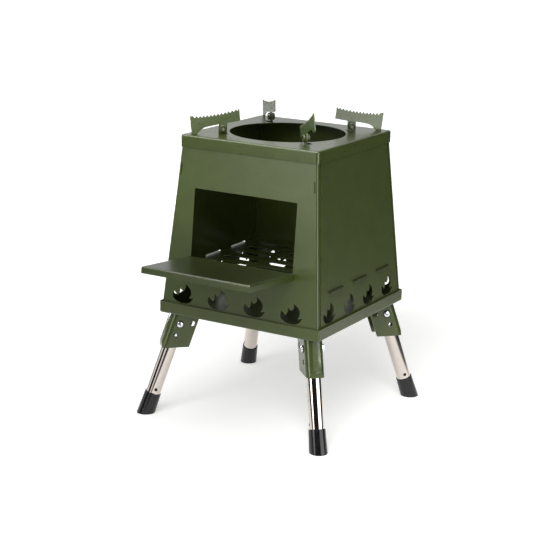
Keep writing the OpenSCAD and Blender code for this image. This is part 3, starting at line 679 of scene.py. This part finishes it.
class STOVE_OT_fasteners(bpy.types.Operator):
    """Set the pivot screws with their washers and nuts, and the rivets"""
    bl_idname = "stove.fasteners"
    bl_label = "Screws and rivets"

    def execute(self, context):
        sizes = context.scene.stove_sizes
        half = sizes.bracket_width / 2
        screws, washers, nuts = [], [], []
        for i, corner in enumerate(CORNERS):
            way = turning_way(i) * HEAD_SIDE[i]
            pivot = Vector(JOINTS["leg_%s_fold" % corner]["pos_m"])
            screws.append((pivot + way * (half + sizes.washer), way))
            washers.append((pivot + way * half, way))
            nuts.append((pivot - way * half, -way))
        recipe = fastener_tree()
        set_fasteners(recipe, "pivot_screws", screw_mesh(sizes), screws, "zinc", "leg_screws")
        set_fasteners(recipe, "pivot_washers", washer_mesh(sizes), washers, "nylon",
                      "leg_washers")
        set_fasteners(recipe, "pivot_nuts", nut_mesh(sizes), nuts, "zinc", "leg_nuts")
        own_piece("support_rivets_coated", softened("support_rivets", sizes.tube_edge, segments=3), "bracket",
                  "lid", "support_rivets")
        own_piece("tray_rivets_coated", softened("bracket_rivets", sizes.rivet_edge, segments=3), "body",
                  "stove", "bracket_rivets")
        own_piece("shelf_pin_zinc", softened("shelf_pin", sizes.rivet_edge), "zinc", "stove",
                  "shelf_pin")
        return {"FINISHED"}


def boot_share(edge):
    """How much of the sole's rounding an edge of a boot gets: the sole's own rim all, the lip less."""
    return 1.0 if max(vert.co.z for vert in edge.verts) < 1 * MM else LIP_SHARE


class STOVE_OT_legs(bpy.types.Operator):
    """Make the polished tubes, the rubber feet and the lock buttons with their springs"""
    bl_idname = "stove.legs"
    bl_label = "Legs"

    def execute(self, context):
        sizes = context.scene.stove_sizes
        for corner in CORNERS:
            leg = "leg_" + corner
            node = "leg_tube_" + corner
            own_piece("tube_" + corner, softened(node, sizes.tube_edge), "tube", leg, node)
            node = "foot_" + corner
            boot = softened(node, sizes.sole_edge, boot_share, segments=4)
            own_piece("boot_" + corner, boot, "rubber", leg, node)
            node = "button_spring_" + corner
            spring = softened(node, sizes.spring_edge)
            own_piece("spring_" + corner, spring, "spring", leg, node)
            node = "lock_button_" + corner
            button = softened(node, sizes.tube_edge)
            own_piece("button_" + corner, button, "zinc", "button_" + corner, node)
        return {"FINISHED"}


# Camera and studio

def photograph_camera(sizes):
    """Sets the camera where the photograph was taken from."""
    back = way_to(sizes.azimuth, sizes.elevation)
    level_right = Vector((math.cos(sizes.azimuth), math.sin(sizes.azimuth), 0))
    level_up = back.cross(level_right)
    right = level_right * math.cos(sizes.roll) + level_up * math.sin(sizes.roll)
    up = level_up * math.cos(sizes.roll) - level_right * math.sin(sizes.roll)
    aim = Vector((0, 0, sizes.aim_height))
    place = aim + back * sizes.distance + right * sizes.aside + up * sizes.above
    data = bpy.data.cameras.new("photograph_camera")
    data.sensor_width = 36.0
    data.lens = sizes.focal_length
    camera = in_scene("photograph_camera", data)
    camera.matrix_world = Matrix.Translation(place) @ Matrix((right, up, back)).transposed().to_4x4()
    bpy.context.scene.camera = camera


def seen_directly(tree):
    """1 for rays from the camera, from reflections and through glass, 0 for rays that light a dull
    surface."""
    path = add(tree, "ShaderNodeLightPath")
    seen = add(tree, "ShaderNodeMath", {"operation": "MAXIMUM"}, input_0=path.outputs["Is Camera Ray"],
               input_1=path.outputs["Is Glossy Ray"])
    clear = add(tree, "ShaderNodeMath", {"operation": "MAXIMUM"}, input_0=seen.outputs["Value"],
                input_1=path.outputs["Is Transmission Ray"])
    return clear.outputs["Value"]


def white_world(level, overhead):
    """White to the camera and to reflections. To everything else it is a soft fill, at one strength from the
    level and at another from overhead."""
    world = bpy.data.worlds.new("studio_white")
    world.use_nodes = True
    tree = world.node_tree
    tree.nodes.clear()
    way = add(tree, "ShaderNodeSeparateXYZ", Vector=add(tree, "ShaderNodeNewGeometry").outputs["Incoming"])
    fill = add(tree, "ShaderNodeMapRange", Value=way.outputs["Z"], From_Min=0.0, From_Max=-1.0, To_Min=level,
               To_Max=overhead)
    strength = add(tree, "ShaderNodeMix", {"data_type": "FLOAT"}, input_0=seen_directly(tree),
                   input_2=fill.outputs["Result"], input_3=1.0)
    sky = add(tree, "ShaderNodeBackground", Color=(1, 1, 1, 1), Strength=strength.outputs[0])
    output = tree.nodes.new("ShaderNodeOutputWorld")
    tree.links.new(sky.outputs["Background"], output.inputs["Surface"])
    bpy.context.scene.world = world


def soft_sun(name, azimuth, elevation, strength, softness):
    """A distant lamp. Its place and its width, the softness, are in degrees."""
    data = bpy.data.lights.new(name, "SUN")
    data.energy = strength
    data.angle = math.radians(softness)
    way = way_to(math.radians(azimuth), math.radians(elevation))
    in_scene(name, data).rotation_euler = way.to_track_quat("Z", "Y").to_euler()


def studio_card(name, first, last, brightness, low=0.0, high=1.7, foot=1.5, head=1.5):
    """A curved card round the stove, from one azimuth to another, that is seen only in reflections: a flag
    where it is dark, a strip light where it is bright. foot and head are its distances from the stove's axis
    at its lower and upper edge."""
    steps = 12
    places = []
    for i in range(steps + 1):
        a = math.radians(first + (last - first) * i / steps)
        places += [(reach * math.sin(a), -reach * math.cos(a), z) for reach, z in ((foot, low), (head, high))]
    mesh = bpy.data.meshes.new(name)
    mesh.from_pydata(places, [], [(2 * i, 2 * i + 1, 2 * i + 3, 2 * i + 2) for i in range(steps)])
    card = in_scene(name, mesh)
    material = bpy.data.materials.new(name + "_cloth")
    material.use_nodes = True
    tree = material.node_tree
    tree.nodes.clear()
    glow = add(tree, "ShaderNodeEmission", Color=(1, 1, 1, 1), Strength=brightness)
    output = tree.nodes.new("ShaderNodeOutputMaterial")
    tree.links.new(glow.outputs["Emission"], output.inputs["Surface"])
    mesh.materials.append(material)
    for kind in ("camera", "diffuse", "transmission", "volume_scatter", "shadow"):
        setattr(card, "visible_" + kind, False)


def level_sheet(name, height, left, right, front, back):
    """A level rectangle of the stage."""
    mesh = bpy.data.meshes.new(name)
    corners = [(left, front, height), (right, front, height), (right, back, height), (left, back, height)]
    mesh.from_pydata(corners, [], [(0, 1, 2, 3)])
    sheet = in_scene(name, mesh)
    return sheet


def level_flag(name, height, left, right, front, back):
    """A level flag that shades what lies under it. It isn't seen, nor mirrored."""
    flag = level_sheet(name, height, left, right, front, back)
    flag.data.materials.append(finish("flag"))
    flag.visible_camera = flag.visible_glossy = flag.visible_transmission = False


def studio_floor(lift, near, far, mirrored):
    """Plain white floor that keeps the stove's shadow. lift brightens it to the camera. Reflections see it
    white up to the near distance from the stove, and fallen to the mirrored tone at the far one."""
    floor = level_sheet("studio_floor", 0, -FLOOR_REACH, FLOOR_REACH, -FLOOR_REACH, FLOOR_REACH)
    material, tree, bsdf = surface("matt_white_paper", Roughness=0.95, Specular_IOR_Level=0.0)
    path = add(tree, "ShaderNodeLightPath")
    distance = add(tree, "ShaderNodeVectorMath", {"operation": "LENGTH"},
                   Vector=add(tree, "ShaderNodeTexCoord").outputs["Object"])
    falling = add(tree, "ShaderNodeMapRange", Value=distance.outputs["Value"], From_Min=near, From_Max=far,
                  To_Min=1.0, To_Max=mirrored)
    tone = add(tree, "ShaderNodeMix", {"data_type": "RGBA"}, input_0=path.outputs["Is Glossy Ray"],
               input_7=falling.outputs["Result"])
    carry(tree, clouded(tree, size=4 * MM), tone, 6, linear("#f3f3f2"), linear("#f6f6f5"))
    glow = add(tree, "ShaderNodeMath", {"operation": "MULTIPLY"}, input_0=seen_directly(tree), input_1=lift)
    tree.links.new(tone.outputs[2], bsdf.inputs["Base Color"])
    tree.links.new(tone.outputs[2], bsdf.inputs["Emission Color"])
    tree.links.new(glow.outputs["Value"], bsdf.inputs["Emission Strength"])
    floor.data.materials.append(material)


class STOVE_OT_stage(bpy.types.Operator):
    """Set up the camera, the lamps, the white background and the floor"""
    bl_idname = "stove.stage"
    bl_label = "Studio"

    def execute(self, context):
        photograph_camera(context.scene.stove_camera)
        white_world(level=0.62, overhead=0.3)
        studio_floor(lift=0.45, near=0.5, far=0.9, mirrored=0.1)
        soft_sun("key_softbox", azimuth=13, elevation=45, strength=2.3, softness=40)
        level_flag("flag_over_pot_hole", height=0.6, left=-0.17, right=0.17, front=-0.17, back=0.17)
        level_flag("flag_over_shelf", height=0.36, left=-0.13, right=0.13, front=-0.44, back=-0.22)
        studio_card("dark_flag_left", first=-53, last=-25, brightness=FLAG_TONE)
        studio_card("strip_light_left", first=-25, last=-5, brightness=5.5, low=0.2)
        studio_card("dark_flag_by_camera", first=-5, last=60, brightness=FLAG_TONE)
        studio_card("strip_light_right", first=60, last=102, brightness=3.4)
        studio_card("dark_flag_right", first=102, last=165, brightness=FLAG_TONE)
        # The low strips show mostly in the pot supports: a reflection from lower down meets the floor first
        low_strip = {"low": 0.03, "high": 0.14, "foot": 1.4, "head": 1.4}
        studio_card("low_strip_right", first=62, last=100, brightness=13.0, **low_strip)
        studio_card("low_strip_behind", first=-140, last=-100, brightness=26.0, **low_strip)
        studio_card("overhead_softbox", first=-75, last=70, brightness=10.0, low=1.7, high=2.7, head=0.2)
        context.scene.view_settings.view_transform = "Standard"
        return {"FINISHED"}


class STOVE_PT_panel(bpy.types.Panel):
    """Lists the stove's pieces, sizes and colours"""
    bl_idname = "STOVE_PT_panel"
    bl_label = "Camp Stove"
    bl_space_type = "VIEW_3D"
    bl_region_type = "UI"
    bl_category = "Camp Stove"

    def draw(self, context):
        for operator in OPERATORS:
            self.layout.operator(operator.bl_idname)
        scene = context.scene
        for group in (scene.stove_colours, scene.stove_sizes, scene.stove_camera):
            box = self.layout.box()
            for name in group.bl_rna.properties.keys():
                if name not in ("rna_type", "name"):
                    box.prop(group, name)


OPERATORS = (STOVE_OT_sheet_metal, STOVE_OT_grate, STOVE_OT_fasteners, STOVE_OT_legs, STOVE_OT_stage)
CLASSES = (StoveColours, StoveSizes, StoveCamera) + OPERATORS + (STOVE_PT_panel,)


def register():
    for cls in CLASSES:
        bpy.utils.register_class(cls)
    bpy.types.Scene.stove_colours = bpy.props.PointerProperty(type=StoveColours)
    bpy.types.Scene.stove_sizes = bpy.props.PointerProperty(type=StoveSizes)
    bpy.types.Scene.stove_camera = bpy.props.PointerProperty(type=StoveCamera)


def unregister():
    for name in ("stove_camera", "stove_sizes", "stove_colours"):
        delattr(bpy.types.Scene, name)
    for cls in reversed(CLASSES):
        bpy.utils.unregister_class(cls)


def main():
    register()
    bpy.ops.stove.sheet_metal()
    bpy.ops.stove.grate()
    bpy.ops.stove.fasteners()
    bpy.ops.stove.legs()
    bpy.ops.stove.stage()


if __name__ == "__main__":
    main()
